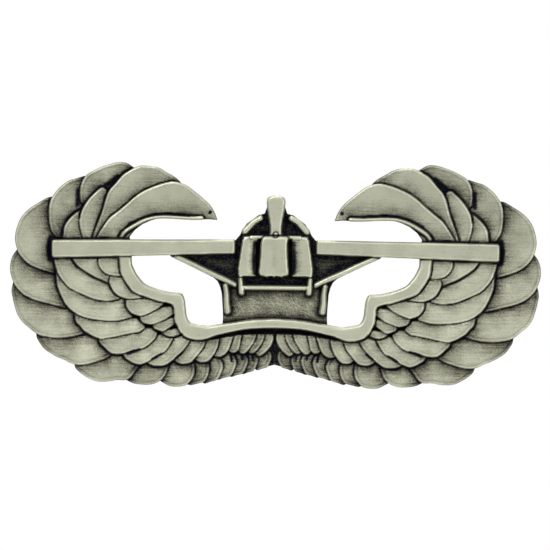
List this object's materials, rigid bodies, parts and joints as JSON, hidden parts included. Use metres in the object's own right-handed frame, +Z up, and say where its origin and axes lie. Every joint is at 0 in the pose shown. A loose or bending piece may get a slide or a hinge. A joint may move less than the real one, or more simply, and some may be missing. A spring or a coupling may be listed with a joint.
{
  "type": "winged glider badge",
  "caption": "Die-struck metal wings badge with a front-view glider, pinned through cloth by rear posts and held by sprung butterfly clutches.",
  "frame": {"origin": "middle of the badge's flat back, where it lies on the cloth", "axes": "+Z up as worn, -Y out of the face, +Y into the cloth along the posts, +X to the right as the badge is looked at"},
  "size_m": [0.0634, 0.0123, 0.0268],
  "materials": {
    "antique_silver": "satin antique silver plate with dark patina in the recesses",
    "nickel": "satin nickel plate",
    "solder": "dull soft solder",
    "clutch_brass": "bright stamped brass",
    "spring_brass": "spring-tempered sheet brass"
  },
  "bodies": {
    "badge": {"badge_plate": "antique_silver", "left_post": "nickel", "left_post_pad": "nickel", "left_solder_fillet": "solder", "right_post": "nickel", "right_post_pad": "nickel", "right_solder_fillet": "solder"},
    "left_clutch": {"left_clutch_base_disc": "clutch_brass", "left_clutch_cover": "clutch_brass", "left_clutch_spring": "spring_brass"},
    "left_inner_wing": {"left_clutch_inner_wing": "spring_brass"},
    "left_outer_wing": {"left_clutch_outer_wing": "spring_brass"},
    "right_clutch": {"right_clutch_base_disc": "clutch_brass", "right_clutch_cover": "clutch_brass", "right_clutch_spring": "spring_brass"},
    "right_inner_wing": {"right_clutch_inner_wing": "spring_brass"},
    "right_outer_wing": {"right_clutch_outer_wing": "spring_brass"}
  },
  "joints": [
    {"name": "left_clutch_pull", "type": "slide", "parent": "badge", "child": "left_clutch", "axis": [0, 1, 0], "range_m": [0, 0.0085]},
    {"name": "left_inner_wing_squeeze", "type": "hinge", "parent": "left_clutch", "child": "left_inner_wing", "pos_m": [-0.0221, 0.0061, -0.0016], "axis": [0, 0, 1], "range_deg": [0, 12], "stiffness_Nm_per_rad": 0.0025, "springref_deg": -5.73},
    {"name": "left_outer_wing_squeeze", "type": "hinge", "parent": "left_clutch", "child": "left_outer_wing", "pos_m": [-0.0259, 0.0061, -0.0016], "axis": [0, 0, -1], "range_deg": [0, 12], "stiffness_Nm_per_rad": 0.0025, "springref_deg": -5.73},
    {"name": "right_clutch_pull", "type": "slide", "parent": "badge", "child": "right_clutch", "axis": [0, 1, 0], "range_m": [0, 0.0085]},
    {"name": "right_inner_wing_squeeze", "type": "hinge", "parent": "right_clutch", "child": "right_inner_wing", "pos_m": [0.0221, 0.0061, -0.0016], "axis": [0, 0, -1], "range_deg": [0, 12], "stiffness_Nm_per_rad": 0.0025, "springref_deg": -5.73},
    {"name": "right_outer_wing_squeeze", "type": "hinge", "parent": "right_clutch", "child": "right_outer_wing", "pos_m": [0.0259, 0.0061, -0.0016], "axis": [0, 0, 1], "range_deg": [0, 12], "stiffness_Nm_per_rad": 0.0025, "springref_deg": -5.73}
  ],
  "couplings": [
    {"joint": "left_outer_wing_squeeze", "follows": "left_inner_wing_squeeze", "ratio": 1},
    {"joint": "right_outer_wing_squeeze", "follows": "right_inner_wing_squeeze", "ratio": 1}
  ]
}
